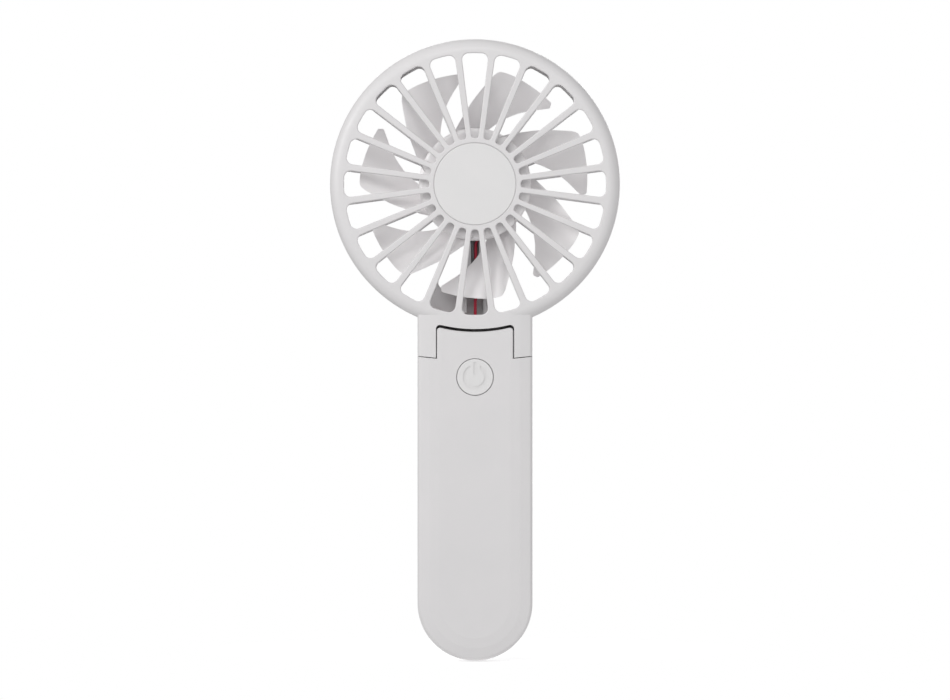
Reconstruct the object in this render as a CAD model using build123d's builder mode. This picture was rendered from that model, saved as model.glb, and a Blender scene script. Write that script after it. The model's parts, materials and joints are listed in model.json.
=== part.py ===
from build123d import *
import os
from math import sin, cos, radians, sqrt, atan2, degrees

os.makedirs("parts", exist_ok=True)

# Folding battery hand fan.  Millimetres.  +Z runs from the handle's end up to
# the fan head, -Y is the side the air leaves by, +X is to the right as seen
# from the front.  Origin: centre of the bounding box's bottom face.

# ---- driving dimensions ----------------------------------------------------
HEAD_R = 49.0            # outside radius of the round head
HEAD_Z = 161.0           # height of the impeller axis
DEPTH = 23.0             # front face to back face
Y_FRONT = -13.75         # front face of head and handle
Y_BACK = Y_FRONT + DEPTH # back face
Y_SPLIT = Y_FRONT + 11.5 # parting plane between the front and back shells
WALL = 1.8
FACE = 2.0               # thickness of front and back faces

PIN_Y, PIN_Z = Y_BACK + 0.5, 107.0   # fold axis, parallel to X
BARREL_R = 4.0

HW = 19.4                # half width of handle and neck
FACET_A, FACET_B = 15.2, 11.8        # half widths where the front facets start
DROP_A, DROP_B = 1.2, 0.3            # how far the facets fall back
TONGUE = 12.9            # half width of the handle's tongue
NOTCH = 13.2             # half width of the notch in the neck
TONGUE_R = 49.95         # tongue's top edge, about the head's centre
EAR_IN, EAR_OUT = 102.30, 102.95     # height of the ear's end, inner and outer side
EAR_GAP = 0.30
LAP = 0.6                # how far the back shells lap behind the gaps between the front ones
LAP_TOP = 1.1            # the same above the tongue
LAP_Y = Y_SPLIT + 0.3    # where the laps start
SWEEP_R = 11.7           # laps beside the tongue stay this close to the fold axis

RING_IN = 44.2           # outer end of the slots
RING_IN_REAR = 45.2      # the same at the back, but for the slots beside a screw
RING_ROLL = 3.8
N_SLOT = 24
SLOT_R0 = 15.5
CAP_R, CAP_RECESS_R = 13.82, 13.87

HUB_R = 19.0             # impeller hub
N_BLADE = 7
BLADE_REAR, BLADE_FRONT = 3.2, -7.9

BTN_Z, BTN_R, BTN_HOLE_R = 95.8, 6.15, 6.32
BTN_TRAVEL = 0.4

CELL_R, CELL_L, CELL_Z = 9.15, 65.0, 8.0
USB_Z, USB_Y = 80.0, -7.6
WIRE_R, SLEEVE_R = 0.5, 1.25


def at(y):
    """Sketch plane facing front at depth y: local x is X, local y is Z."""
    return Plane.XZ.offset(-y)


def yz(x):
    """Sketch plane at x: local x is Y, local y is Z, extrusion runs to +X."""
    return Plane.YZ.offset(x)


def pill(hw, z_top):
    """Straight sided outline with a half round lower end."""
    with BuildSketch() as s:
        with BuildLine():
            Line((-hw, z_top), (-hw, HW))
            ThreePointArc((-hw, HW), (0, HW - hw), (hw, HW))
            Line((hw, HW), (hw, z_top))
            Line((hw, z_top), (-hw, z_top))
        make_face()
    return s.sketch


def handle_outline(tongue=TONGUE, tongue_r=TONGUE_R, lower=0.0):
    """Handle seen from the front, with shoulders and tongue."""
    so, si = EAR_OUT - EAR_GAP - lower, EAR_IN - EAR_GAP - lower
    zt = HEAD_Z - sqrt(tongue_r**2 - tongue**2)
    with BuildSketch() as s:
        with BuildLine():
            Line((-HW - 1, so + 0.1), (-HW - 1, -1))
            Line((-HW - 1, -1), (HW + 1, -1))
            Line((HW + 1, -1), (HW + 1, so + 0.1))
            Line((HW + 1, so + 0.1), (tongue, si))
            Line((tongue, si), (tongue, zt))
            ThreePointArc((tongue, zt), (0, HEAD_Z - tongue_r), (-tongue, zt))
            Line((-tongue, zt), (-tongue, si))
            Line((-tongue, si), (-HW - 1, so + 0.1))
        make_face()
        fillet(s.vertices().filter_by(lambda v: v.Y > 110), 1.1)
    return s.sketch


def notch_outline(half=NOTCH, top_r=HEAD_R):
    """Notch between the ears, open at the bottom."""
    zt = HEAD_Z - sqrt(top_r**2 - half**2)
    with BuildSketch() as s:
        with BuildLine():
            Line((-half, 95), (half, 95))
            Line((half, 95), (half, zt))
            ThreePointArc((half, zt), (0, HEAD_Z - top_r), (-half, zt))
            Line((-half, zt), (-half, 95))
        make_face()
        fillet(s.vertices().filter_by(lambda v: v.Y > 110), 1.4)
    return s.sketch


def neck_outline(hw, top):
    """Ears and neck up to height top, ends sloping as the ears' do."""
    with BuildSketch() as s:
        with BuildLine():
            Polyline((-hw, top), (-hw, EAR_OUT), (-NOTCH, EAR_IN), (NOTCH, EAR_IN),
                     (hw, EAR_OUT), (hw, top), close=True)
        make_face()
    return s.sketch


def front_slots():
    """24 tapered slots of the front grille, about the origin."""
    a = 0.1217
    w0, w1 = a * (SLOT_R0 - 6.31), a * (RING_IN - 6.31)
    x1 = sqrt(RING_IN**2 - w1**2)
    with BuildSketch() as one:
        with BuildLine():
            Line((SLOT_R0, -w0), (x1, -w1))
            ThreePointArc((x1, -w1), (RING_IN, 0), (x1, w1))
            Line((x1, w1), (SLOT_R0, w0))
            Line((SLOT_R0, w0), (SLOT_R0, -w0))
        make_face()
        fillet(one.vertices().filter_by(lambda v: v.X > 30), 2.2)
        fillet(one.vertices().filter_by(lambda v: v.X < 30), 1.0)
    with BuildSketch() as s:
        with PolarLocations(0, N_SLOT):
            add(one.sketch)
    return s.sketch


def rear_slot(r_out, r_in=17.6):
    """One slot of the rear grille between two spokes of constant width."""
    t, h = radians(7.5), 1.03

    def p(q):
        return q * cos(t) + h * sin(t), q * sin(t) - h * cos(t)
    (xi, wi), (xo, wo) = p(r_in), p(r_out)
    xo = sqrt(r_out**2 - wo**2)
    with BuildSketch() as one:
        with BuildLine():
            Line((xi, -wi), (xo, -wo))
            ThreePointArc((xo, -wo), (r_out, 0), (xo, wo))
            Line((xo, wo), (xi, wi))
            Line((xi, wi), (xi, -wi))
        make_face()
        fillet(one.vertices().filter_by(lambda v: v.X > 26), 2.0)
        fillet(one.vertices().filter_by(lambda v: v.X < 26), 1.0)
    return one.sketch


HEAD_SCREW_R = 45.9
HEAD_SCREW_A = (52.5, 127.5, 232.5, 307.5)
SCREW_SLOTS = (3, 4, 8, 9, 15, 16, 20, 21)   # rear slots on either side of a screw
HEAD_SCREWS = [(HEAD_SCREW_R * cos(radians(a)), HEAD_Z + HEAD_SCREW_R * sin(radians(a))) for a in HEAD_SCREW_A]
HANDLE_SCREWS = [(-14.5, 26.0), (14.5, 26.0), (-15.0, 94.0), (15.0, 94.0)]
BOARD_SCREWS = [(-9.2, 79.5), (9.2, 89.0)]

# ============================ head, front shell =============================
with BuildPart() as front_grille:
    with BuildSketch(at(Y_SPLIT)):
        with Locations((0, HEAD_Z)):
            Circle(HEAD_R)
    extrude(amount=Y_SPLIT - Y_FRONT)
    fillet(front_grille.faces().sort_by(Axis.Y)[0].edges(), RING_ROLL)
    # neck and ears: side wall, then the two shallow front facets
    with BuildSketch(at(Y_SPLIT)):
        add(neck_outline(HW, 121))
    extrude(amount=Y_SPLIT - Y_FRONT - DROP_A)
    with BuildSketch(Plane.XY.offset(EAR_IN)):
        with BuildLine():
            Polyline((-HW, Y_FRONT + DROP_A), (-FACET_A, Y_FRONT + DROP_B), (-FACET_B, Y_FRONT),
                     (FACET_B, Y_FRONT), (FACET_A, Y_FRONT + DROP_B), (HW, Y_FRONT + DROP_A),
                     (HW, Y_SPLIT - 2), (-HW, Y_SPLIT - 2), close=True)
        make_face()
    extrude(amount=121 - EAR_IN)
    # slope of the ears' lower ends
    with BuildSketch(at(Y_SPLIT)):
        with BuildLine():
            Polyline((NOTCH, EAR_IN - 0.001), (HW + 1, EAR_OUT + 0.1), (HW + 1, EAR_IN - 2), (NOTCH, EAR_IN - 2), close=True)
        make_face()
        mirror(about=Plane.YZ)
    extrude(amount=20, mode=Mode.SUBTRACT)
    # hollow of the ring
    with BuildSketch(at(Y_SPLIT)):
        with Locations((0, HEAD_Z)):
            Circle(HEAD_R - WALL)
    extrude(amount=Y_SPLIT - Y_FRONT - FACE, mode=Mode.SUBTRACT)
    # thicker hub
    with BuildSketch(at(Y_FRONT + 3.0)):
        with Locations((0, HEAD_Z)):
            Circle(15.2)
    extrude(amount=2.0)
    # screw posts against the ring wall
    with BuildSketch(at(Y_SPLIT)):
        with Locations(*HEAD_SCREWS):
            Circle(1.75)
    extrude(amount=Y_SPLIT - Y_FRONT - 1.0)
    with BuildSketch(at(Y_SPLIT)):
        with Locations(*HEAD_SCREWS):
            Circle(0.82)
    extrude(amount=6.5, mode=Mode.SUBTRACT)
    # slots
    with BuildSketch(at(Y_FRONT + 5)):
        with Locations((0, HEAD_Z)):
            add(front_slots())
    extrude(amount=8, mode=Mode.SUBTRACT)
    # recess and peg holes for the hub cap
    with BuildSketch(at(Y_FRONT + 1.6)):
        with Locations((0, HEAD_Z)):
            Circle(CAP_RECESS_R)
    extrude(amount=3, mode=Mode.SUBTRACT)
    with BuildSketch(at(Y_FRONT + 5)):
        with Locations((0, HEAD_Z)):
            with PolarLocations(9.5, 3, start_angle=90):
                Circle(1.25)
    extrude(amount=4, mode=Mode.SUBTRACT)
    # notch for the handle's tongue
    with BuildSketch(at(Y_SPLIT + 1)):
        add(notch_outline())
    extrude(amount=20, mode=Mode.SUBTRACT)
    # round over the slots' front edges and the ears' sides
    slot_edges = front_grille.edges().filter_by_position(Axis.Y, Y_FRONT - 0.01, Y_FRONT + 0.01).filter_by(
        lambda e: 15.0 < ((e.center().X**2 + (e.center().Z - HEAD_Z)**2)**0.5) < 45.0 and e.length < 32)
    slot_edges = slot_edges.filter_by(lambda e: not (14.0 < ((e @ 0 - Vector(0, Y_FRONT, HEAD_Z)).length) < 14.2))
    print("slot edges", len(slot_edges))
    fillet(slot_edges, 0.4)
    side = front_grille.edges().filter_by(Axis.Z).filter_by_position(Axis.Y, Y_FRONT + DROP_A - 0.02, Y_FRONT + DROP_A + 0.02)
    print("ear sides", len(side), [round(e.length, 1) for e in side])
    fillet(side.filter_by(lambda e: abs(e.center().X) > HW - 0.1), 1.5)
    # eased edge of the cap's recess, and of the parting line
    recess = front_grille.edges().filter_by_position(Axis.Y, Y_FRONT - 0.01, Y_FRONT + 0.01).filter_by(
        lambda e: abs(e.length - 2 * 3.14159265 * CAP_RECESS_R) < 0.2)
    print("recess edges", len(recess))
    chamfer(recess, 0.25)
    seam = front_grille.edges().filter_by_position(Axis.Y, Y_SPLIT - 0.01, Y_SPLIT + 0.01).filter_by(
        lambda e: (e.geom_type == GeomType.CIRCLE and abs(e.radius - HEAD_R) < 0.01 and e.length > 30)
        or (e.geom_type == GeomType.LINE and abs(abs(e.center().X) - HW) < 0.01 and e.length > 5))
    print("seam edges", len(seam), [round(e.length, 1) for e in seam])
    chamfer(seam, 0.2)
front_grille.part.label = "front_grille"
print("front_grille", front_grille.part.is_valid, len(front_grille.solids()), front_grille.part.volume)

# ============================ head, rear shell ==============================
with BuildPart() as rear_grille:
    with BuildSketch(at(Y_BACK)):
        with Locations((0, HEAD_Z)):
            Circle(HEAD_R)
    extrude(amount=Y_BACK - Y_SPLIT)
    fillet(rear_grille.faces().sort_by(Axis.Y)[-1].edges(), RING_ROLL)
    # neck with softened back corners
    with BuildSketch(Plane.XY.offset(EAR_IN - LAP)) as neck_section:
        with BuildLine():
            Polyline((-HW, Y_SPLIT), (HW, Y_SPLIT), (HW, Y_BACK), (-HW, Y_BACK), close=True)
        make_face()
        fillet(neck_section.vertices().filter_by(lambda v: v.Y > Y_SPLIT + 5), 2.6)
    extrude(amount=121 - EAR_IN + LAP)
    # hinge barrel across the ears
    with BuildSketch(yz(-HW)):
        with Locations((PIN_Y, PIN_Z)):
            Circle(BARREL_R)
    extrude(amount=2 * HW)
    # hollow of the ring
    with BuildSketch(at(Y_BACK - FACE)):
        with Locations((0, HEAD_Z)):
            Circle(HEAD_R - WALL)
    extrude(amount=Y_BACK - FACE - Y_SPLIT, mode=Mode.SUBTRACT)
    # rim that enters the front shell
    with BuildSketch(at(Y_SPLIT + 2)):
        with Locations((0, HEAD_Z)):
            Circle(HEAD_R - WALL)
            Circle(HEAD_R - WALL - 1.1, mode=Mode.SUBTRACT)
    extrude(amount=2.0)
    with BuildSketch(at(Y_SPLIT + 0.5)):
        with Locations((0, HEAD_Z)):
            Circle(HEAD_R - WALL - 0.12)
            Circle(HEAD_R - WALL - 1.1, mode=Mode.SUBTRACT)
        with Locations(*HEAD_SCREWS):
            Circle(2.15, mode=Mode.SUBTRACT)
    extrude(amount=1.7)
    # screw posts with wells opening to the back
    with BuildSketch(at(Y_BACK - FACE + 0.4)):
        with Locations(*HEAD_SCREWS):
            Circle(2.1)
    extrude(amount=Y_BACK - FACE + 0.4 - Y_SPLIT)
    with BuildSketch(at(Y_BACK + 1)):
        with Locations(*HEAD_SCREWS):
            Circle(1.55)
    extrude(amount=Y_BACK + 1 - 3.0, mode=Mode.SUBTRACT)
    with BuildSketch(at(5.0)):
        with Locations(*HEAD_SCREWS):
            Circle(0.95)
    extrude(amount=9.0, mode=Mode.SUBTRACT)
    # slots: all but the wire duct at the bottom, and a short one beside it
    with BuildSketch(at(Y_BACK + 1)):
        with Locations((0, HEAD_Z)):
            with Locations(*[Location((0, 0, 0), (0, 0, 15 * i)) for i in SCREW_SLOTS]):
                add(rear_slot(RING_IN))
            with Locations(*[Location((0, 0, 0), (0, 0, 15 * i)) for i in range(N_SLOT) if i not in SCREW_SLOTS + (17, 18)]):
                add(rear_slot(RING_IN_REAR))
            with Locations(Location((0, 0, 0), (0, 0, 255))):
                add(rear_slot(36.8))
    extrude(amount=4, mode=Mode.SUBTRACT)
    # motor cup, bracket posts
    with BuildSketch(at(Y_BACK - FACE + 0.5)):
        with Locations((0, HEAD_Z)):
            Circle(11.7)
            Circle(10.15, mode=Mode.SUBTRACT)
    extrude(amount=8.5)
    with BuildSketch(at(Y_BACK - FACE + 0.5)):
        with Locations((-13.4, HEAD_Z), (13.4, HEAD_Z)):
            Circle(2.3)
    extrude(amount=Y_BACK - FACE + 0.5 + 4.6)
    with BuildSketch(at(Y_BACK - FACE)):
        with Locations((-13.4, HEAD_Z), (13.4, HEAD_Z)):
            Circle(0.82)
    extrude(amount=20, mode=Mode.SUBTRACT)
    # wire duct: a block between two spokes with a channel open to the front
    with BuildSketch(at(Y_BACK - 0.5)):
        with BuildLine():
            s7 = sin(radians(7.5))
            Polyline((-17.0 * s7 - 1.0, HEAD_Z - 16.9), (-45.4 * s7 - 1.0, HEAD_Z - 45.2),
                     (45.4 * s7 + 1.0, HEAD_Z - 45.2), (17.0 * s7 + 1.0, HEAD_Z - 16.9), close=True)
        make_face()
        with Locations((0, HEAD_Z)):
            Circle(RING_IN, mode=Mode.INTERSECT)
    extrude(amount=Y_BACK - 0.5 - 4.75)
    with BuildSketch(at(8.05)):
        with BuildLine():
            Polyline((-1.36, HEAD_Z - 18), (-1.36, HEAD_Z - 27), (-2.85, HEAD_Z - 38), (-2.85, HEAD_Z - 46.5),
                     (2.85, HEAD_Z - 46.5), (2.85, HEAD_Z - 38), (1.36, HEAD_Z - 27), (1.36, HEAD_Z - 18), close=True)
        make_face()
        with Locations((0, HEAD_Z)):
            Circle(47.0, mode=Mode.INTERSECT)
    extrude(amount=4, mode=Mode.SUBTRACT)
    with BuildSketch(at(Y_BACK - FACE)):
        with Locations((0, HEAD_Z - 14.6)):
            Rectangle(5.4, 10.0)
    extrude(amount=3.6, mode=Mode.SUBTRACT)
    # side way out of the duct, towards the left ear
    with BuildSketch(at(Y_BACK - FACE)):
        with Locations((-4.5, 116.3)):
            Rectangle(7.4, 2.6)
    extrude(amount=3.2, mode=Mode.SUBTRACT)
    # passage down the left ear to the fold axis
    with BuildSketch(at(7.45)):
        with Locations((-17.0, 111.6)):
            Rectangle(2.8, 12.4)
        with Locations((-14.7, 116.4)):
            Rectangle(7.0, 2.8)
    extrude(amount=2.85, mode=Mode.SUBTRACT)
    with BuildSketch(at(11.2)):
        with Locations((-17.0, PIN_Z)):
            Rectangle(2.8, 2.9)
    extrude(amount=6.6, mode=Mode.SUBTRACT)
    # bores on the fold axis
    with BuildSketch(yz(-17.0)):
        with Locations((PIN_Y, PIN_Z)):
            Circle(2.25)
    extrude(amount=10, mode=Mode.SUBTRACT)
    with BuildSketch(yz(5.0)):
        with Locations((PIN_Y, PIN_Z)):
            Circle(1.55)
    extrude(amount=12.9, mode=Mode.SUBTRACT)
    # ears' lower ends, and the notch: their back parts lap behind the gaps
    for y, low in ((Y_BACK, LAP), (LAP_Y, 0.0)):
        with BuildSketch(at(y)):
            with BuildLine():
                Polyline((NOTCH - 1, EAR_IN - low - 0.001), (NOTCH, EAR_IN - low - 0.001), (HW + 1, EAR_OUT - low + 0.1),
                         (HW + 1, EAR_IN - 3), (NOTCH - 1, EAR_IN - 3), close=True)
            make_face()
            mirror(about=Plane.YZ)
        extrude(amount=20, mode=Mode.SUBTRACT)
    with BuildSketch(at(Y_BACK + 6)):
        add(notch_outline(NOTCH - LAP, HEAD_R + LAP_TOP))
    extrude(amount=30, mode=Mode.SUBTRACT)
    with BuildSketch(at(LAP_Y)):
        add(notch_outline())
    extrude(amount=10, mode=Mode.SUBTRACT)
    # room for the handle's barrel, and for the sweep of the laps beside the tongue
    with BuildSketch(yz(-NOTCH)):
        with Locations((PIN_Y, PIN_Z)):
            Circle(BARREL_R + 0.35)
    extrude(amount=2 * NOTCH, mode=Mode.SUBTRACT)
    with BuildSketch(yz(-NOTCH)):
        with Locations((-1.5, 106.0)):
            Rectangle(5.0, 12.4)
        with Locations((PIN_Y, PIN_Z)):
            Circle(SWEEP_R, mode=Mode.SUBTRACT)
    extrude(amount=LAP, mode=Mode.SUBTRACT)
    with BuildSketch(yz(NOTCH)):
        with Locations((-1.5, 106.0)):
            Rectangle(5.0, 12.4)
        with Locations((PIN_Y, PIN_Z)):
            Circle(SWEEP_R, mode=Mode.SUBTRACT)
    extrude(amount=-LAP, mode=Mode.SUBTRACT)
rear_grille.part.label = "rear_grille"
print("rear_grille", rear_grille.part.is_valid, len(rear_grille.solids()), rear_grille.part.volume)

# ============================ hub cap =======================================
with BuildPart() as hub_cap:
    with BuildSketch(at(Y_FRONT + 1.55)):
        with Locations((0, HEAD_Z)):
            Circle(CAP_R)
    extrude(amount=1.55)
    fillet(hub_cap.faces().sort_by(Axis.Y)[0].edges(), 0.3)
    with BuildSketch(at(Y_FRONT + 3.2)):
        with Locations((0, HEAD_Z)):
            with PolarLocations(9.5, 3, start_angle=90):
                Circle(1.2)
    extrude(amount=2.0)
hub_cap.part.label = "hub_cap"

# ============================ impeller ======================================
EDGE_A = [(17.6, 79.4), (18.8, 76.9), (22.7, 69.2), (25.4, 64.1), (30.7, 54.5), (33.6, 49.5), (36.4, 45.6)]
EDGE_B = [(17.6, 114.6), (19.0, 111.0), (19.9, 108.6), (23.2, 100.2), (26.1, 94.9), (33.6, 84.2), (37.2, 80.3)]


def interp(tab, r):
    if r <= tab[0][0]:
        (r0, a0), (r1, a1) = tab[0], tab[1]
    elif r >= tab[-1][0]:
        (r0, a0), (r1, a1) = tab[-2], tab[-1]
    else:
        for (r0, a0), (r1, a1) in zip(tab, tab[1:]):
            if r0 <= r <= r1:
                break
    return a0 + (a1 - a0) * (r - r0) / (r1 - r0)


def pol(r, a):
    return r * cos(radians(a)), r * sin(radians(a))


# middle surface of a blade: rear edge A to front edge B, lightly cambered
grid = []
for i in range(9):
    r = 15.0 + i * 3.4
    row = []
    for j in range(9):
        u = -0.15 + j * 1.3 / 8
        a = interp(EDGE_A, r) + u * (interp(EDGE_B, r) - interp(EDGE_A, r))
        c = 0.9 * (1 - (2 * u - 1) ** 2)
        x, z = pol(r, a)
        row.append(Vector(x, BLADE_REAR + (BLADE_FRONT - BLADE_REAR) * u + c, HEAD_Z + z))
    grid.append(row)
blade_face = Face.make_surface_from_array_of_points(grid, min_deg=2, max_deg=4)

with BuildSketch() as blade_outline:
    with BuildLine():
        ea = Spline(*[pol(r, a) for r, a in EDGE_A])
        tip = Spline(pol(38.0, 47.0), pol(38.15, 53.6), pol(38.6, 65.0), pol(39.0, 74.0), pol(38.9, 78.0))
        eb = Spline(*[pol(r, a) for r, a in reversed(EDGE_B)])
        Line(ea @ 1, tip @ 0)
        Line(tip @ 1, eb @ 0)
        Line(eb @ 1, ea @ 0)
    make_face()
    fillet(blade_outline.vertices().sort_by_distance(Vector(*pol(38.0, 47.0)))[0], 0.75)
    fillet(blade_outline.vertices().sort_by_distance(Vector(*pol(36.4, 45.6)))[0], 0.75)
    fillet(blade_outline.vertices().sort_by_distance(Vector(*pol(38.9, 78.0)))[0], 2.2)

with BuildPart() as blade:
    with BuildSketch(at(6)):
        with Locations((0, HEAD_Z)):
            add(blade_outline.sketch)
    extrude(amount=18)
    thick = Solid.thicken(blade_face, 1.15)
    add(thick, mode=Mode.INTERSECT)
print("blade", blade.part.is_valid, len(blade.solids()), blade.part.volume, blade.part.bounding_box())

with BuildPart() as impeller:
    with BuildSketch(at(4.2)):
        with Locations((0, HEAD_Z)):
            Circle(HUB_R)
    extrude(amount=13.9)
    fillet(impeller.faces().sort_by(Axis.Y)[0].edges(), 1.2)
    with BuildSketch(at(4.2)):
        with Locations((0, HEAD_Z)):
            Circle(HUB_R - 1.4)
    extrude(amount=12.5, mode=Mode.SUBTRACT)
    with BuildSketch(at(-6.3)):
        with Locations((0, HEAD_Z)):
            Circle(3.2)
    extrude(amount=2.6)
    for k in range(N_BLADE):
        add(blade.part.rotate(Axis((0, 0, HEAD_Z), (0, 1, 0)), k * 360 / N_BLADE))
    with BuildSketch(at(4.3)):
        with Locations((0, HEAD_Z)):
            Circle(HUB_R - 1.4)
            Circle(3.2, mode=Mode.SUBTRACT)
    extrude(amount=12.6, mode=Mode.SUBTRACT)
    with BuildSketch(at(-6.0)):
        with Locations((0, HEAD_Z)):
            Circle(1.01)
    extrude(amount=2.8, mode=Mode.SUBTRACT)
impeller.part.label = "impeller"
print("impeller", impeller.part.is_valid, len(impeller.solids()), impeller.part.volume)


def disc(r, y0, y1, r_in=0.0, z=HEAD_Z, x=0.0):
    """Plain disc or ring on an axis parallel to Y, from y0 (front) to y1."""
    with BuildPart() as p:
        with BuildSketch(at(y1)):
            with Locations((x, z)):
                Circle(r)
                if r_in:
                    Circle(r_in, mode=Mode.SUBTRACT)
        extrude(amount=y1 - y0)
    return p.part


def tube(pts, radii, r):
    """Round wire along straight runs joined by tangent arcs."""
    with BuildPart() as p:
        with BuildLine():
            route = FilletPolyline(*pts, radius=radii)
        with BuildSketch(Plane(origin=route @ 0, z_dir=route % 0)):
            Circle(r)
        sweep()
    length = route.length
    err = abs(p.part.volume - 3.14159265 * r * r * length) / p.part.volume
    assert err < 0.01, err
    return p.part


def cross_recess(plane_y, x, z, size=1.7):
    """Cross-shaped driver recess cut into a screw head's back face."""
    with BuildSketch(at(plane_y + 0.1)):
        with Locations((x, z)):
            Rectangle(size, 0.42)
            Rectangle(0.42, size)
    extrude(amount=0.65, mode=Mode.SUBTRACT)


# ============================ motor =========================================
MOTOR_F, MOTOR_B = -4.6, 5.9
with BuildPart() as motor_can:
    with BuildSketch(at(MOTOR_B)):
        with Locations((0, HEAD_Z)):
            Circle(10.0)
    extrude(amount=MOTOR_B - MOTOR_F)
    fillet(motor_can.faces().sort_by(Axis.Y)[0].edges(), 0.6)
    with BuildSketch(at(MOTOR_B)):
        with Locations((0, HEAD_Z)):
            Circle(9.2)
    extrude(amount=MOTOR_B - MOTOR_F - 0.8, mode=Mode.SUBTRACT)
    with BuildSketch(at(MOTOR_B)):
        with Locations((0, HEAD_Z)):
            Circle(2.8)
    extrude(amount=20, mode=Mode.SUBTRACT)
motor_can.part.label = "motor_can"

with BuildPart() as motor_endbell:
    with BuildSketch(at(7.2)):
        with Locations((0, HEAD_Z)):
            Circle(9.8)
            Circle(1.06, mode=Mode.SUBTRACT)
    extrude(amount=1.25)
    # brush holders
    with BuildSketch(at(5.97)):
        with Locations((-4.6, HEAD_Z), (4.6, HEAD_Z)):
            Rectangle(2.6, 3.4)
    extrude(amount=2.0)
motor_endbell.part.label = "motor_endbell"

with BuildPart() as motor_bushing:
    with BuildSketch(at(-3.6)):
        with Locations((0, HEAD_Z)):
            Circle(2.78)
            Circle(1.04, mode=Mode.SUBTRACT)
    extrude(amount=2.2)
motor_bushing.part.label = "motor_bushing"

with BuildPart() as motor_magnets:
    with BuildSketch(at(3.2)):
        with Locations((0, HEAD_Z)):
            Circle(9.18)
            Circle(7.2, mode=Mode.SUBTRACT)
            Rectangle(3.4, 30, mode=Mode.SUBTRACT)
    extrude(amount=6.6)
motor_magnets.part.label = "motor_magnets"

with BuildPart() as motor_brushes:
    with BuildSketch(at(5.6)):
        with Locations((-2.85, HEAD_Z), (2.85, HEAD_Z)):
            Rectangle(0.8, 1.4)
    extrude(amount=1.3)
motor_brushes.part.label = "motor_brushes"

with BuildPart() as motor_terminals:
    with BuildSketch(at(7.2 - 0.55)):
        with Locations((-1.7, HEAD_Z - 11.0), (1.7, HEAD_Z - 11.0)):
            Rectangle(1.2, 2.36)
    extrude(amount=0.4)
motor_terminals.part.label = "motor_terminals"

with BuildPart() as motor_bracket:
    with BuildSketch(at(MOTOR_F - 0.02)):
        with Locations((0, HEAD_Z)):
            SlotCenterToCenter(26.8, 5.6)
            Circle(5.2)
            Circle(2.95, mode=Mode.SUBTRACT)
        with Locations((-13.4, HEAD_Z), (13.4, HEAD_Z)):
            Circle(0.95, mode=Mode.SUBTRACT)
    extrude(amount=0.8)
motor_bracket.part.label = "motor_bracket"

with BuildPart() as bracket_screws:
    with BuildSketch(at(MOTOR_F - 0.84)):
        with Locations((-13.4, HEAD_Z), (13.4, HEAD_Z)):
            Circle(1.55)
    extrude(amount=1.0)
    with BuildSketch(at(3.4)):
        with Locations((-13.4, HEAD_Z), (13.4, HEAD_Z)):
            Circle(0.8)
    extrude(amount=3.4 + 5.5)
    for sx in (-13.4, 13.4):
        with BuildSketch(at(MOTOR_F - 1.35)):
            with Locations((sx, HEAD_Z)):
                Rectangle(1.7, 0.42)
                Rectangle(0.42, 1.7)
        extrude(amount=1.0, mode=Mode.SUBTRACT)
bracket_screws.part.label = "bracket_screws"

with BuildPart() as motor_shaft:
    with BuildSketch(at(6.9)):
        with Locations((0, HEAD_Z)):
            Circle(1.0)
    extrude(amount=6.9 + 8.7)
    chamfer(motor_shaft.edges().filter_by(GeomType.CIRCLE), 0.15)
motor_shaft.part.label = "motor_shaft"

with BuildPart() as armature:
    with BuildSketch(at(2.9)):
        with Locations((0, HEAD_Z)):
            Circle(6.6)
            Circle(1.01, mode=Mode.SUBTRACT)
            with PolarLocations(5.2, 3, start_angle=90):
                Rectangle(3.2, 1.1, mode=Mode.SUBTRACT)
    extrude(amount=5.8)
armature.part.label = "armature"

with BuildPart() as commutator:
    with BuildSketch(at(5.7)):
        with Locations((0, HEAD_Z)):
            Circle(2.4)
            Circle(1.01, mode=Mode.SUBTRACT)
    extrude(amount=2.7)
commutator.part.label = "commutator"

# ============================ head screws ===================================
with BuildPart() as head_screws:
    with BuildSketch(at(4.2)):
        with Locations(*HEAD_SCREWS):
            Circle(1.45)
    extrude(amount=1.19)
    with BuildSketch(at(3.1)):
        with Locations(*HEAD_SCREWS):
            Circle(0.8)
    extrude(amount=3.1 + 8.2)
    for sx, sz in HEAD_SCREWS:
        with BuildSketch(at(4.3)):
            with Locations((sx, sz)):
                Rectangle(1.7, 0.42)
                Rectangle(0.42, 1.7)
        extrude(amount=0.75, mode=Mode.SUBTRACT)
head_screws.part.label = "head_screws"

# ============================ motor leads, head side ========================
Z0 = HEAD_Z - 12.2
motor_lead_red_head = tube(
    [(1.7, 6.45, Z0), (1.7, 6.3, 145.4), (0.27, 6.1, 141.0), (0.27, 6.1, 135.0), (0.55, 5.5, 126.5), (0.1, 5.5, 121.5), (0.1, 5.5, 115.7), (-17.0, 5.5, 115.7), (-17.0, 5.5, 114.6)],
    [3, 3, 5, 5, 5, 1.2, 1.0], WIRE_R)
motor_lead_black_head = tube(
    [(-1.7, 6.45, Z0), (-1.7, 6.4, 145.4), (-0.8, 6.35, 141.0), (-0.8, 6.35, 135.0), (0.1, 6.62, 126.5), (0.1, 6.62, 115.7), (-17.0, 6.62, 115.7), (-17.0, 6.62, 114.6)],
    [3, 3, 5, 5, 1.2, 1.0], WIRE_R)
motor_lead_red_head.label = "motor_lead_red_head"
motor_lead_black_head.label = "motor_lead_black_head"
wire_sleeve_head = tube(
    [(-17.0, 6.05, 114.5), (-17.0, 6.05, PIN_Z), (-17.0, PIN_Y, PIN_Z), (-13.15, PIN_Y, PIN_Z)],
    [1.8, 1.8], SLEEVE_R)
wire_sleeve_head.label = "wire_sleeve_head"

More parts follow.
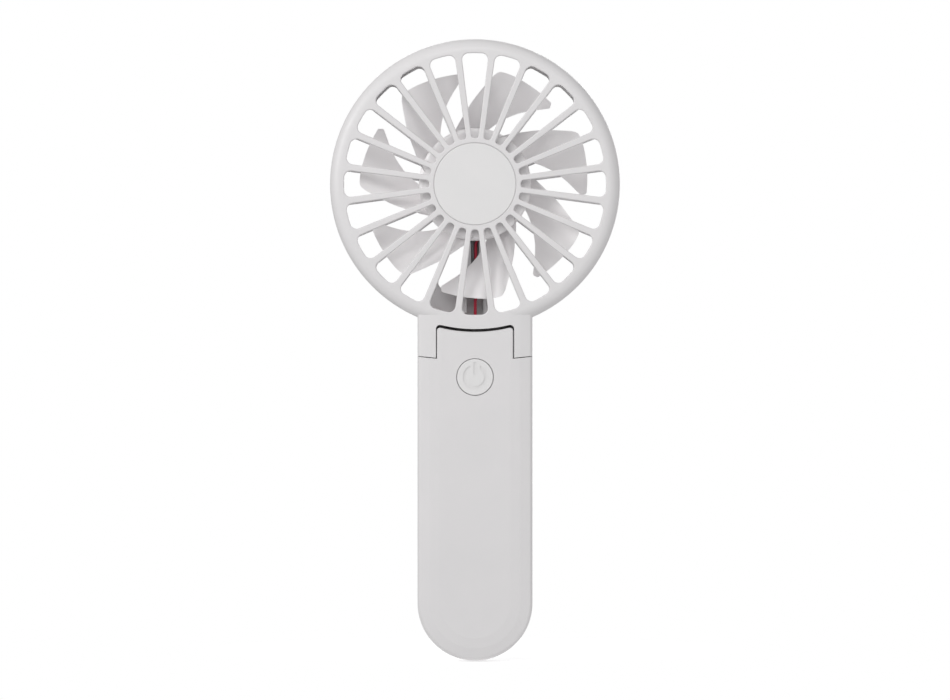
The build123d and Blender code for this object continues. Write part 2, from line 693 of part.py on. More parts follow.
# ============================ handle, front shell ===========================
with BuildPart() as handle_front_cover:
    with BuildSketch(at(Y_SPLIT)):
        add(pill(HW, 116))
    extrude(amount=Y_SPLIT - Y_FRONT - DROP_A)
    with BuildSketch(at(Y_FRONT + DROP_A)):
        add(pill(HW, 116))
    with BuildSketch(at(Y_FRONT + DROP_B)):
        add(pill(FACET_A, 116))
    loft(ruled=True)
    with BuildSketch(at(Y_FRONT + DROP_B)):
        add(pill(FACET_A, 116))
    with BuildSketch(at(Y_FRONT)):
        add(pill(FACET_B, 116))
    loft(ruled=True)
    with BuildSketch(at(Y_SPLIT)):
        add(handle_outline())
    extrude(amount=20, mode=Mode.INTERSECT)
    # hollow
    with BuildSketch(at(Y_SPLIT)):
        with BuildLine():
            Polyline((-17.6, 60), (-17.6, 100.0), (-11.1, 100.0), (-11.1, 109.0), (11.1, 109.0), (11.1, 100.0), (17.6, 100.0), (17.6, 60), close=True)
        make_face()
        add(pill(HW - WALL, 61))
    extrude(amount=Y_SPLIT - Y_FRONT - FACE, mode=Mode.SUBTRACT)
    # posts for the case screws and the board screws
    with BuildSketch(at(Y_SPLIT)):
        with Locations(*HANDLE_SCREWS):
            Circle(2.3)
    extrude(amount=Y_SPLIT - Y_FRONT - 1.6)
    with BuildSketch(at(-6.02)):
        with Locations(*BOARD_SCREWS):
            Circle(2.0)
    extrude(amount=-6.02 - Y_FRONT - 1.6)
    # cradle ribs for the cell
    with BuildSketch(at(-5.0)):
        with Locations((0, 20.0), (0, 45.0), (0, 64.0)):
            Rectangle(34.4, 1.2)
    extrude(amount=-5.0 - Y_FRONT - 1.6)
    with BuildSketch(Plane.XY.offset(6.0)):
        with Locations((0, Y_SPLIT)):
            Circle(CELL_R + 0.15)
    extrude(amount=68.4, mode=Mode.SUBTRACT)
    # pilot holes
    with BuildSketch(at(Y_SPLIT)):
        with Locations(*HANDLE_SCREWS):
            Circle(0.82)
    extrude(amount=6.5, mode=Mode.SUBTRACT)
    with BuildSketch(at(-6.0)):
        with Locations(*BOARD_SCREWS):
            Circle(0.72)
    extrude(amount=4.5, mode=Mode.SUBTRACT)
    # button opening
    with BuildSketch(at(Y_FRONT + 4)):
        with Locations((0, BTN_Z)):
            Circle(BTN_HOLE_R)
    extrude(amount=5, mode=Mode.SUBTRACT)
    # charging socket opening in the right side wall
    with BuildSketch(yz(15.0)):
        with Locations((USB_Y, USB_Z)):
            SlotOverall(9.5, 3.75, rotation=90)
    extrude(amount=8, mode=Mode.SUBTRACT)
    # round over the outline and the tongue's top edge
    rim = handle_front_cover.edges().filter_by_position(Axis.Y, Y_FRONT + DROP_A - 0.02, Y_FRONT + DROP_A + 0.02)
    fillet(rim.filter_by(lambda e: e.length > 40), 1.5)
    top = handle_front_cover.edges().filter_by_position(Axis.Y, Y_FRONT - 0.01, Y_FRONT + 0.01)
    chamfer(top.filter_by(lambda e: e.center().Z > 108 and e.length > 15), 0.35)
    seam = handle_front_cover.edges().filter_by_position(Axis.Y, Y_SPLIT - 0.01, Y_SPLIT + 0.01).filter_by(
        lambda e: (e.geom_type == GeomType.CIRCLE and abs(e.radius - HW) < 0.01)
        or (e.geom_type == GeomType.LINE and abs(abs(e.center().X) - HW) < 0.01 and e.length > 40))
    print("seam edges", len(seam), [round(e.length, 1) for e in seam])
    chamfer(seam, 0.2)
handle_front_cover.part.label = "handle_front_cover"
print("handle_front_cover", handle_front_cover.part.is_valid, len(handle_front_cover.solids()), handle_front_cover.part.volume)

# ============================ handle, rear shell ============================
with BuildPart() as handle_rear_cover:
    with BuildSketch(at(Y_BACK)):
        add(pill(HW, 116))
    extrude(amount=Y_BACK - Y_SPLIT)
    fillet(handle_rear_cover.faces().sort_by(Axis.Y)[-1].edges().filter_by(lambda e: e.center().Z < 100), 4.6)
    with BuildSketch(at(Y_BACK + 1)):
        add(handle_outline(TONGUE - LAP, HEAD_R + LAP_TOP + 0.3, LAP))
    extrude(amount=20, mode=Mode.INTERSECT)
    # hinge barrel across the tongue
    with BuildSketch(yz(-TONGUE)):
        with Locations((PIN_Y, PIN_Z)):
            Circle(BARREL_R)
    extrude(amount=2 * TONGUE)
    # hollow
    with BuildSketch(at(Y_BACK - FACE)):
        with BuildLine():
            Polyline((-11.1, 90), (-11.1, 109.0), (11.1, 109.0), (11.1, 90), close=True)
        make_face()
        with BuildLine():
            Polyline((-14.8, 60), (-14.8, 99.6), (14.8, 99.6), (14.8, 60), close=True)
        make_face()
        add(pill(14.8, 61))
    extrude(amount=Y_BACK - FACE - Y_SPLIT, mode=Mode.SUBTRACT)
    with BuildSketch(at(Y_SPLIT + 7.0)):
        with BuildLine():
            Polyline((-17.6, 60), (-17.6, 100.0), (17.6, 100.0), (17.6, 60), close=True)
        make_face()
        add(pill(HW - WALL, 61))
    extrude(amount=7.0, mode=Mode.SUBTRACT)
    with BuildSketch(yz(-11.1)):
        with Locations((PIN_Y, PIN_Z)):
            Circle(2.8)
        with Locations((PIN_Y - 3.0, PIN_Z)):
            Rectangle(6.0, 3.9)
    extrude(amount=22.2, mode=Mode.SUBTRACT)
    # bores on the fold axis through the cheeks
    with BuildSketch(yz(-14)):
        with Locations((PIN_Y, PIN_Z)):
            Circle(2.21)
    extrude(amount=4, mode=Mode.SUBTRACT)
    with BuildSketch(yz(10)):
        with Locations((PIN_Y, PIN_Z)):
            Circle(1.51)
    extrude(amount=4, mode=Mode.SUBTRACT)
    # lips that enter the front shell
    with BuildSketch(at(0.5)):
        with Locations((-17.2, 60.0), (17.2, 60.0)):
            Rectangle(1.0, 50.0)
    extrude(amount=0.5 - Y_SPLIT)
    with BuildSketch(at(-1.5)):
        with Locations((-17.05, 60.0), (17.05, 60.0)):
            Rectangle(0.9, 50.0)
    extrude(amount=2.0)
    # posts with screw wells
    with BuildSketch(at(Y_BACK - FACE + 0.3)):
        with Locations(*HANDLE_SCREWS):
            Circle(2.3)
    extrude(amount=Y_BACK - FACE + 0.3 - Y_SPLIT)
    with BuildSketch(at(Y_BACK + 1)):
        with Locations(*HANDLE_SCREWS):
            Circle(1.6)
    extrude(amount=Y_BACK + 1 - 3.0, mode=Mode.SUBTRACT)
    with BuildSketch(at(5.0)):
        with Locations(*HANDLE_SCREWS):
            Circle(0.95)
    extrude(amount=9.0, mode=Mode.SUBTRACT)
handle_rear_cover.part.label = "handle_rear_cover"
print("handle_rear_cover", handle_rear_cover.part.is_valid, len(handle_rear_cover.solids()), handle_rear_cover.part.volume)

# ============================ power button ==================================
with BuildPart() as power_button:
    with BuildSketch(at(-11.2)):
        with Locations((0, BTN_Z)):
            Circle(BTN_R)
    extrude(amount=-11.2 - (Y_FRONT + 0.06))
    fillet(power_button.faces().sort_by(Axis.Y)[0].edges(), 0.35)
    with BuildSketch(at(-10.8)):
        with Locations((0, BTN_Z)):
            Circle(7.1)
    extrude(amount=0.7)
    with BuildSketch(at(-10.06)):
        with Locations((0, BTN_Z)):
            Circle(1.6)
    extrude(amount=1.0)
    # sunk mark: open ring and bar
    with BuildSketch(at(Y_FRONT + 0.32)):
        with Locations((0, BTN_Z)):
            Circle(4.1)
            Circle(3.1, mode=Mode.SUBTRACT)
        with Locations((0, BTN_Z + 4.5)):
            Rectangle(3.3, 5.0, mode=Mode.SUBTRACT)
        with Locations((0, BTN_Z + 3.0)):
            SlotOverall(4.2, 1.05, rotation=90)
    extrude(amount=2, mode=Mode.SUBTRACT)
power_button.part.label = "power_button"

with BuildPart() as switch_plunger:
    with BuildSketch(at(-8.95)):
        with Locations((0, BTN_Z)):
            Circle(1.7)
    extrude(amount=1.08)
switch_plunger.part.label = "switch_plunger"

with BuildPart() as tact_switch:
    with BuildSketch(at(-6.02)):
        with Locations((0, BTN_Z)):
            Rectangle(6.0, 6.0)
    extrude(amount=3.2)
    chamfer(tact_switch.edges().filter_by(Axis.Y), 0.5)
    with BuildSketch(at(-8.2)):
        with Locations((0, BTN_Z)):
            Circle(1.8)
    extrude(amount=2, mode=Mode.SUBTRACT)
    with BuildSketch(at(-6.02)):
        with Locations(*[(sx * 3.4, BTN_Z + sz * 2.2) for sx in (-1, 1) for sz in (-1, 1)]):
            Rectangle(1.2, 0.8)
    extrude(amount=0.3)
tact_switch.part.label = "tact_switch"

# ============================ control board =================================
with BuildPart() as control_board:
    with BuildSketch(at(-5.0)):
        with Locations((0, 87.5)):
            Rectangle(24.8, 23.6)
        with Locations((14.0, USB_Z)):
            Rectangle(5.0, 9.6)
        with Locations(*BOARD_SCREWS):
            Circle(0.95, mode=Mode.SUBTRACT)
        with Locations((-15.0, 94.0), (15.0, 94.0)):
            Circle(2.7, mode=Mode.SUBTRACT)
    extrude(amount=1.0)
control_board.part.label = "control_board"

with BuildPart() as charging_socket:
    with BuildSketch(yz(10.9)):
        with Locations((USB_Y, USB_Z)):
            SlotOverall(8.94, 3.12, rotation=90)
    extrude(amount=7.3)
    with BuildSketch(yz(11.9)):
        with Locations((USB_Y, USB_Z)):
            SlotOverall(8.34, 2.52, rotation=90)
    extrude(amount=8, mode=Mode.SUBTRACT)
charging_socket.part.label = "charging_socket"

with BuildPart() as socket_tongue:
    with BuildSketch(yz(11.92)):
        with Locations((USB_Y, USB_Z)):
            Rectangle(0.7, 6.6)
    extrude(amount=5.2)
socket_tongue.part.label = "socket_tongue"

with BuildPart() as board_components:
    with BuildSketch(at(-3.4)):
        with Locations((2.0, 88.0)):
            Rectangle(5.0, 4.0)
    extrude(amount=1.58)
    with BuildSketch(at(-2.4)):
        with Locations((2.5, 94.5)):
            Rectangle(4.6, 4.6)
    extrude(amount=2.58)
    with BuildSketch(at(-4.0)):
        with Locations((-3.2, 83.0), (-3.2, 85.0), (4.8, 82.6), (7.4, 82.6)):
            Rectangle(1.6, 0.9)
    extrude(amount=0.98)
board_components.part.label = "board_components"

with BuildPart() as board_screws:
    with BuildSketch(at(-3.78)):
        with Locations(*BOARD_SCREWS):
            Circle(1.5)
    extrude(amount=1.2)
    with BuildSketch(at(-4.5)):
        with Locations(*BOARD_SCREWS):
            Circle(0.7)
    extrude(amount=5.2)
    for sx, sz in BOARD_SCREWS:
        with BuildSketch(at(-3.6)):
            with Locations((sx, sz)):
                Rectangle(1.7, 0.42)
                Rectangle(0.42, 1.7)
        extrude(amount=0.75, mode=Mode.SUBTRACT)
board_screws.part.label = "board_screws"

# ============================ cell ==========================================
with BuildPart() as battery_cell:
    with BuildSketch(Plane.XY.offset(CELL_Z)):
        with Locations((0, Y_SPLIT)):
            Circle(CELL_R)
    extrude(amount=CELL_L)
    fillet(battery_cell.edges().filter_by(GeomType.CIRCLE), 0.7)
    with BuildSketch(Plane.XY.offset(CELL_Z + CELL_L)):
        with Locations((0, Y_SPLIT)):
            Circle(6.8)
            Circle(3.0, mode=Mode.SUBTRACT)
    extrude(amount=-0.35, mode=Mode.SUBTRACT)
battery_cell.part.label = "battery_cell"

with BuildPart() as battery_tabs:
    with BuildSketch(Plane.XY.offset(CELL_Z + CELL_L + 0.01)):
        with Locations((1.5, Y_SPLIT + 0.2)):
            Rectangle(7.0, 5.0)
    extrude(amount=0.2)
    with BuildSketch(Plane.XY.offset(CELL_Z - 0.21)):
        with Locations((-4.2, Y_SPLIT + 0.8)):
            Rectangle(13.6, 5.0)
    extrude(amount=0.2)
battery_tabs.part.label = "battery_tabs"

with BuildPart() as battery_pad:
    with BuildSketch(at(Y_BACK - FACE - 0.02)):
        with Locations((0, 42.0)):
            Rectangle(9.0, 40.0)
    extrude(amount=1.6)
    with BuildSketch(Plane.XY.offset(10.0)):
        with Locations((0, Y_SPLIT)):
            Circle(CELL_R + 0.03)
    extrude(amount=62.0, mode=Mode.SUBTRACT)
battery_pad.part.label = "battery_pad"

# ============================ wiring in the handle ==========================
ZT = CELL_Z + CELL_L + 0.22
battery_lead_red = tube([(3.0, -1.0, ZT), (3.0, -1.0, 79.0), (3.0, -4.97, 79.0)], [2.2], WIRE_R)
battery_lead_red.label = "battery_lead_red"
battery_lead_black = tube([(-10.3, -0.8, CELL_Z + 0.01), (-10.3, -0.8, 82.6), (-10.3, -4.97, 82.6)], [2.4], WIRE_R)
battery_lead_black.label = "battery_lead_black"
wire_sleeve_handle = tube(
    [(-12.95, PIN_Y, PIN_Z), (-8.2, PIN_Y, PIN_Z), (-8.2, 4.4, PIN_Z), (-8.2, 4.4, 100.4)],
    [2.4, 2.4], SLEEVE_R)
wire_sleeve_handle.label = "wire_sleeve_handle"
motor_lead_red_handle = tube([(-7.65, 4.4, 100.3), (-7.65, 4.4, 92.0), (-7.65, -4.97, 92.0)], [3.5], WIRE_R)
motor_lead_red_handle.label = "motor_lead_red_handle"
motor_lead_black_handle = tube([(-8.75, 4.4, 100.3), (-8.75, 4.4, 88.0), (-8.75, -4.97, 88.0)], [3.5], WIRE_R)
motor_lead_black_handle.label = "motor_lead_black_handle"

# ============================ handle screws =================================
with BuildPart() as handle_screws:
    with BuildSketch(at(4.2)):
        with Locations(*HANDLE_SCREWS):
            Circle(1.5)
    extrude(amount=1.19)
    with BuildSketch(at(3.1)):
        with Locations(*HANDLE_SCREWS):
            Circle(0.8)
    extrude(amount=3.1 + 8.2)
    for sx, sz in HANDLE_SCREWS:
        with BuildSketch(at(4.3)):
            with Locations((sx, sz)):
                Rectangle(1.7, 0.42)
                Rectangle(0.42, 1.7)
        extrude(amount=0.75, mode=Mode.SUBTRACT)
handle_screws.part.label = "handle_screws"

# ============================ hinge hardware ================================
with BuildPart() as hinge_bush:
    with BuildSketch(yz(-15.5)):
        with Locations((PIN_Y, PIN_Z)):
            Circle(2.2)
            Circle(1.4, mode=Mode.SUBTRACT)
    extrude(amount=4.4)
hinge_bush.part.label = "hinge_bush"

with BuildPart() as hinge_pin:
    with BuildSketch(yz(9.0)):
        with Locations((PIN_Y, PIN_Z)):
            Circle(1.5)
    extrude(amount=8.8)
    with BuildSketch(yz(9.35)):
        with Locations((PIN_Y, PIN_Z)):
            Circle(1.6)
            Circle(1.2, mode=Mode.SUBTRACT)
    extrude(amount=0.45, mode=Mode.SUBTRACT)
hinge_pin.part.label = "hinge_pin"

with BuildPart() as hinge_washer:
    with BuildSketch(yz(9.95)):
        with Locations((PIN_Y, PIN_Z)):
            Circle(2.6)
            Circle(1.55, mode=Mode.SUBTRACT)
    extrude(amount=1.0)
hinge_washer.part.label = "hinge_washer"

with BuildPart() as hinge_clip:
    with BuildSketch(yz(9.4)):
        with Locations((PIN_Y, PIN_Z)):
            Circle(2.5)
            Circle(1.22, mode=Mode.SUBTRACT)
        with Locations((PIN_Y - 2.0, PIN_Z)):
            Rectangle(2.6, 1.6, mode=Mode.SUBTRACT)
    extrude(amount=0.35)
hinge_clip.part.label = "hinge_clip"

# ============================ files =========================================
pieces = [front_grille.part, rear_grille.part, hub_cap.part, impeller.part, motor_can.part, motor_endbell.part,
          motor_bushing.part, motor_magnets.part, motor_brushes.part, motor_terminals.part, motor_bracket.part,
          bracket_screws.part, motor_shaft.part, armature.part, commutator.part, head_screws.part,
          motor_lead_red_head, motor_lead_black_head, wire_sleeve_head,
          handle_front_cover.part, handle_rear_cover.part, power_button.part, switch_plunger.part,
          tact_switch.part, control_board.part, charging_socket.part, socket_tongue.part, board_components.part,
          board_screws.part, battery_cell.part, battery_tabs.part, battery_pad.part, battery_lead_red,
          battery_lead_black, wire_sleeve_handle, motor_lead_red_handle, motor_lead_black_handle,
          handle_screws.part, hinge_bush.part, hinge_pin.part, hinge_washer.part, hinge_clip.part]
for p in pieces:
    export_step(p, "parts/%s.step" % p.label)
print(len(pieces), "pieces")
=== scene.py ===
import json
import math

import bpy
import bmesh
from mathutils import Matrix, Vector


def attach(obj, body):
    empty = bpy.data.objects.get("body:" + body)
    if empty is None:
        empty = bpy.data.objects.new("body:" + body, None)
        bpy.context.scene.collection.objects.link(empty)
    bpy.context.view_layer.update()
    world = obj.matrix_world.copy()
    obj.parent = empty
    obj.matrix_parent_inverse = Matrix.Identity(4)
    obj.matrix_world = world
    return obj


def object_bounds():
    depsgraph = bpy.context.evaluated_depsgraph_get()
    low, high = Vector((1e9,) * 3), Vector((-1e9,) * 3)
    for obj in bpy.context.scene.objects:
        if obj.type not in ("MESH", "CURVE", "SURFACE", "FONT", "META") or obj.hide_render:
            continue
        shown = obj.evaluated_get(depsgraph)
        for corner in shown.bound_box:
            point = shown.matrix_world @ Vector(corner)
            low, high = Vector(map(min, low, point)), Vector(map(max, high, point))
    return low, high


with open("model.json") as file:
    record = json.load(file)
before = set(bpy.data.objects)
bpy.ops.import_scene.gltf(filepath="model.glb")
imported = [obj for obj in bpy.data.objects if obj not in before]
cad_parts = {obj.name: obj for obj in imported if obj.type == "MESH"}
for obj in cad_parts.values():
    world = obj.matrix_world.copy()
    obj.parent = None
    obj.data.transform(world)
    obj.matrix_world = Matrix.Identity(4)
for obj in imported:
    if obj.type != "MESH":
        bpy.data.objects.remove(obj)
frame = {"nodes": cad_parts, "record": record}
CAD_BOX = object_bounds()

scene = bpy.context.scene
NODES = frame["nodes"]

# ---------------------------------------------------------------- camera ----
DIST = 2.30                      # camera to the front face
FRONT = CAD_BOX[0][1]
VIEW_W = 0.32053                 # width of the view at the front face
VIEW_Z = 0.10493                 # height of the view's centre
cam_data = bpy.data.cameras.new("camera")
cam_data.sensor_width = 36.0
cam_data.lens = 36.0 * DIST / VIEW_W
cam_data.clip_start = 0.05
cam_data.clip_end = 60.0
cam = bpy.data.objects.new("camera", cam_data)
scene.collection.objects.link(cam)
cam.location = (0.0, FRONT - DIST, VIEW_Z)
cam.rotation_euler = (math.radians(90), 0, 0)
scene.camera = cam

# ---------------------------------------------------------------- light -----
world = bpy.data.worlds.new("studio")
scene.world = world
world.use_nodes = True
wn = world.node_tree
wn.nodes.clear()
w_out = wn.nodes.new("ShaderNodeOutputWorld")
w_bg = wn.nodes.new("ShaderNodeBackground")
w_bg.inputs["Color"].default_value = (1.0, 1.0, 1.0, 1.0)
w_bg.inputs["Strength"].default_value = 0.48
w_cam = wn.nodes.new("ShaderNodeBackground")
w_cam.inputs["Color"].default_value = (1.0, 1.0, 1.0, 1.0)
w_cam.inputs["Strength"].default_value = 1.0
w_lp = wn.nodes.new("ShaderNodeLightPath")
w_mix = wn.nodes.new("ShaderNodeMixShader")
wn.links.new(w_lp.outputs["Is Camera Ray"], w_mix.inputs["Fac"])
wn.links.new(w_bg.outputs[0], w_mix.inputs[1])
wn.links.new(w_cam.outputs[0], w_mix.inputs[2])
wn.links.new(w_mix.outputs[0], w_out.inputs["Surface"])


def area(name, loc, target, size, power, color=(1, 1, 1)):
    d = bpy.data.lights.new(name, "AREA")
    d.shape = "RECTANGLE"
    d.size, d.size_y = size
    d.energy = power
    d.color = color
    o = bpy.data.objects.new(name, d)
    scene.collection.objects.link(o)
    o.location = loc
    o.rotation_euler = (Vector(target) - Vector(loc)).to_track_quat("-Z", "Y").to_euler()
    return o


area("key", (-1.02, -0.72, 0.58), (0, 0, 0.16), (0.55, 0.65), 7.4)
area("front", (-0.08, -0.75, 0.48), (0, 0, 0.18), (0.45, 0.4), 1.7)
area("fill", (0.60, -0.55, -0.25), (0, 0, 0.15), (0.6, 0.6), 1.7)
area("top", (-0.15, -0.25, 1.15), (0, 0, 0.15), (0.9, 0.7), 0.5)
area("rear", (0.22, 1.22, 0.46), (0, 0, 0.12), (0.9, 0.9), 5.5)

scene.view_settings.view_transform = "Standard"
scene.view_settings.look = "None"
scene.view_settings.exposure = 0.0
scene.view_settings.gamma = 1.0


# ------------------------------------------------------------- materials ----
class Mat:
    """A Principled material with small helpers for procedural detail."""

    def __init__(self, name):
        self.m = bpy.data.materials.new(name)
        self.m.use_nodes = True
        self.t = self.m.node_tree
        self.b = self.t.nodes["Principled BSDF"]
        self.tc = self.t.nodes.new("ShaderNodeTexCoord")

    def set(self, **kw):
        for k, v in kw.items():
            self.b.inputs[k.replace("_", " ")].default_value = v
        return self

    def noise(self, scale, detail=3.0, rough=0.55, distort=0.0, stretch=None):
        n = self.t.nodes.new("ShaderNodeTexNoise")
        n.inputs["Scale"].default_value = scale
        n.inputs["Detail"].default_value = detail
        n.inputs["Roughness"].default_value = rough
        n.inputs["Distortion"].default_value = distort
        if stretch:
            mp = self.t.nodes.new("ShaderNodeMapping")
            mp.inputs["Scale"].default_value = stretch
            self.t.links.new(self.tc.outputs["Object"], mp.inputs["Vector"])
            self.t.links.new(mp.outputs["Vector"], n.inputs["Vector"])
        else:
            self.t.links.new(self.tc.outputs["Object"], n.inputs["Vector"])
        return n.outputs["Fac"]

    def voronoi(self, scale):
        n = self.t.nodes.new("ShaderNodeTexVoronoi")
        n.inputs["Scale"].default_value = scale
        self.t.links.new(self.tc.outputs["Object"], n.inputs["Vector"])
        return n.outputs["Distance"]

    def ramp(self, fac, stops):
        r = self.t.nodes.new("ShaderNodeValToRGB")
        e = r.color_ramp.elements
        while len(e) < len(stops):
            e.new(0.5)
        for el, (p, c) in zip(e, stops):
            el.position = p
            el.color = (*c, 1.0) if len(c) == 3 else c
        self.t.links.new(fac, r.inputs["Fac"])
        return r.outputs["Color"]

    def rng(self, fac, lo, hi):
        r = self.t.nodes.new("ShaderNodeMapRange")
        r.inputs["From Min"].default_value = 0.3
        r.inputs["From Max"].default_value = 0.7
        r.inputs["To Min"].default_value = lo
        r.inputs["To Max"].default_value = hi
        self.t.links.new(fac, r.inputs["Value"])
        return r.outputs["Result"]

    def math(self, op, a, b):
        n = self.t.nodes.new("ShaderNodeMath")
        n.operation = op
        for i, v in enumerate((a, b)):
            if hasattr(v, "links"):
                self.t.links.new(v, n.inputs[i])
            else:
                n.inputs[i].default_value = v
        return n.outputs[0]

    def color(self, out):
        self.t.links.new(out, self.b.inputs["Base Color"])
        return self

    def roughness(self, out):
        self.t.links.new(out, self.b.inputs["Roughness"])
        return self

    def bump(self, height, strength, distance):
        n = self.t.nodes.new("ShaderNodeBump")
        n.inputs["Strength"].default_value = strength
        n.inputs["Distance"].default_value = distance
        self.t.links.new(height, n.inputs["Height"])
        self.t.links.new(n.outputs["Normal"], self.b.inputs["Normal"])
        return self


def moulded(name, col, rough, grain=0.22, warm=0.004, flow=(1, 1, 1)):
    """Moulded plastic: spark-eroded grain, faint flow clouding, slight change of gloss."""
    m = Mat(name)
    c = col
    cloud = m.noise(38.0, 4.0, 0.6, 0.4, flow)
    lo = (c[0] * 0.982, c[1] * 0.981, c[2] * 0.982)
    hi = (min(1, c[0] * 1.012 + warm), min(1, c[1] * 1.012), min(1, c[2] * 1.012))
    m.color(m.ramp(cloud, [(0.30, lo), (0.72, hi)]))
    m.roughness(m.rng(m.noise(260.0, 2.0), rough - 0.05, rough + 0.06))
    fine = m.noise(5200.0, 2.0, 0.6)
    pits = m.voronoi(3600.0)
    m.bump(m.math("ADD", m.math("MULTIPLY", fine, 0.7), m.math("MULTIPLY", pits, 0.5)), grain, 0.00004)
    m.set(IOR=1.5, Specular_IOR_Level=0.45)
    return m.m


def metal(name, col, rough, brushed=(1, 1, 1)):
    m = Mat(name)
    m.set(Metallic=1.0, IOR=1.6)
    n = m.noise(900.0, 3.0, 0.6, 0.0, brushed)
    m.color(m.ramp(n, [(0.3, tuple(v * 0.9 for v in col)), (0.7, col)]))
    m.roughness(m.rng(m.noise(400.0, 3.0), rough - 0.07, rough + 0.1))
    m.bump(n, 0.12, 0.00003)
    return m.m


def insulation(name, col, rough=0.32):
    m = Mat(name)
    m.color(m.ramp(m.noise(600.0, 2.0), [(0.3, tuple(v * 0.88 for v in col)), (0.7, col)]))
    m.roughness(m.rng(m.noise(1500.0, 2.0), rough - 0.05, rough + 0.08))
    m.bump(m.noise(2500.0, 2.0), 0.15, 0.00003)
    m.set(IOR=1.5)
    return m.m


# Shell and blades are the same white plastic. The shell's white is set greyer (0.665) than the plastic
# really is, as painted shade that stands in for dim light. The blades' white is set much lighter
# (0.93), as painted light on the blades deep inside the cage.
SHELL_SHADED_WHITE = (0.665, 0.655, 0.66)
MATS = {
    "white_shell": moulded("white_shell", SHELL_SHADED_WHITE, 0.40),
    "white_trim": moulded("white_trim", (0.69, 0.685, 0.685), 0.42, 0.16),
    # white_blade: the shell's white plastic lightened, as painted light on the recessed blades
    "white_blade": moulded("white_blade", (0.93, 0.915, 0.92), 0.36, 0.07),
    "motor_steel": metal("motor_steel", (0.56, 0.57, 0.58), 0.32, (1, 14, 1)),
    "plated_steel": metal("plated_steel", (0.70, 0.70, 0.71), 0.27),
    "bronze": metal("bronze", (0.60, 0.42, 0.25), 0.5),
    "brass": metal("brass", (0.80, 0.64, 0.36), 0.3),
    "copper": metal("copper", (0.80, 0.46, 0.32), 0.3, (1, 10, 1)),
    "ferrite": moulded("ferrite", (0.10, 0.10, 0.11), 0.6, 0.5, 0.0),
    "dark_plastic": moulded("dark_plastic", (0.035, 0.035, 0.04), 0.42, 0.2, 0.0),
    "chip_black": moulded("chip_black", (0.03, 0.03, 0.032), 0.5, 0.3, 0.0),
    "board_green": insulation("board_green", (0.02, 0.17, 0.085), 0.28),
    "cell_wrap": insulation("cell_wrap", (0.09, 0.24, 0.5), 0.22),
    "foam": moulded("foam", (0.10, 0.10, 0.105), 0.9, 1.0, 0.0),
    "red_wire": insulation("red_wire", (0.60, 0.02, 0.06)),
    "black_wire": insulation("black_wire", (0.21, 0.215, 0.22), 0.4),
    "sleeve": insulation("sleeve", (0.03, 0.03, 0.03), 0.55),
}
SLOT_OF = {s["node"]: s["material_slot"] for s in frame["record"]["subparts"]}
for name, o in NODES.items():
    mat = MATS[SLOT_OF[name]]
    if not o.material_slots:
        o.data.materials.append(mat)
    for s in o.material_slots:
        s.material = mat

# ------------------------------------------------------- added fine pieces ---
HEAD_Z = 0.161


def new_obj(name, bm, body, slot, mat=None, smooth=True):
    me = bpy.data.meshes.new(name)
    bmesh.ops.recalc_face_normals(bm, faces=bm.faces)
    bm.to_mesh(me)
    bm.free()
    o = bpy.data.objects.new(name, me)
    scene.collection.objects.link(o)
    me.materials.append(mat or MATS[slot])
    if smooth:
        for p in me.polygons:
            p.use_smooth = True
    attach(o, body)
    return o


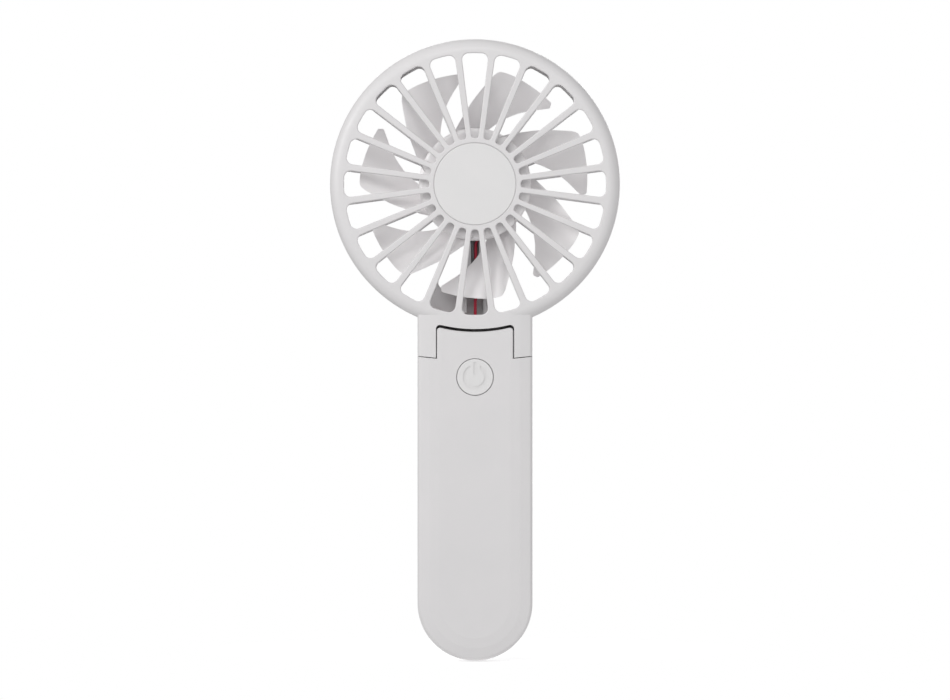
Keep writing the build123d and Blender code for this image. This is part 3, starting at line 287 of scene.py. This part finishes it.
def blob(bm, c, r, h, axis, seg=16, rings=6):
    """A solder fillet: a round dome that flares to its base."""
    axis = Vector(axis).normalized()
    u = axis.orthogonal().normalized()
    v = axis.cross(u).normalized()
    prev = None
    base = None
    for i in range(rings + 1):
        f = i / rings
        rr = r * (1 - f) ** 0.6
        cc = Vector(c) + axis * (h * f ** 0.8)
        if i == rings:
            tipv = bm.verts.new(cc)
            for k in range(seg):
                bm.faces.new((prev[k], prev[(k + 1) % seg], tipv))
        else:
            cur = [bm.verts.new(cc + u * (rr * math.cos(2 * math.pi * k / seg)) + v * (rr * math.sin(2 * math.pi * k / seg))) for k in range(seg)]
            if prev:
                for k in range(seg):
                    bm.faces.new((prev[k], prev[(k + 1) % seg], cur[(k + 1) % seg], cur[k]))
            else:
                base = cur
            prev = cur
    bm.faces.new(list(reversed(base)))


SOLDER = metal("solder", (0.74, 0.74, 0.76), 0.22)
bm = bmesh.new()
for x, z in ((-0.00765, 0.092), (-0.00875, 0.088), (0.003, 0.079), (-0.0103, 0.0826)):
    blob(bm, (x, -0.00499, z), 0.00095, 0.0008, (0, 1, 0))
new_obj("board_solder", bm, "handle", "plated_steel", SOLDER)
bm = bmesh.new()
for x in (-0.0017, 0.0017):
    blob(bm, (x, 0.00645, 0.1492), 0.00058, 0.0009, (0, 0, -1))
new_obj("terminal_solder", bm, "head", "plated_steel", SOLDER)

# copper pads and tracks on the back of the control board
bm = bmesh.new()


def plate(bm, x, z, w, h, y0, y1):
    ret = bmesh.ops.create_cube(bm, size=1.0)
    bmesh.ops.scale(bm, vec=(w, y1 - y0, h), verts=ret["verts"])
    bmesh.ops.translate(bm, vec=(x, (y0 + y1) / 2, z), verts=ret["verts"])


for k in range(4):
    plate(bm, -0.0012 - 0.0003, 0.0865 + 0.001 * k, 0.0016, 0.00042, -0.00499, -0.00494)
    plate(bm, 0.0052 + 0.0003, 0.0865 + 0.001 * k, 0.0016, 0.00042, -0.00499, -0.00494)
for k in range(3):
    plate(bm, 0.0085, 0.0815 + 0.0013 * k, 0.0052, 0.0003, -0.00499, -0.00496)
new_obj("board_pads", bm, "handle", "copper", smooth=False)

# ---------------------------------------------------------------- floor -----
bm = bmesh.new()
bmesh.ops.create_circle(bm, cap_ends=True, segments=128, radius=0.095)
me = bpy.data.meshes.new("floor")
bm.to_mesh(me)
bm.free()
floor = bpy.data.objects.new("floor", me)
scene.collection.objects.link(floor)
floor.location = (0, 0.082, CAD_BOX[0][2] - 0.0004)
fm = Mat("floor_white")
fm.set(Emission_Strength=0.42)
fm.b.inputs["Emission Color"].default_value = (1, 1, 1, 1)
fm.color(fm.ramp(fm.noise(6.0), [(0.3, (0.80, 0.80, 0.80)), (0.7, (0.83, 0.83, 0.83))]))
fm.set(Roughness=0.9)
me.materials.append(fm.m)
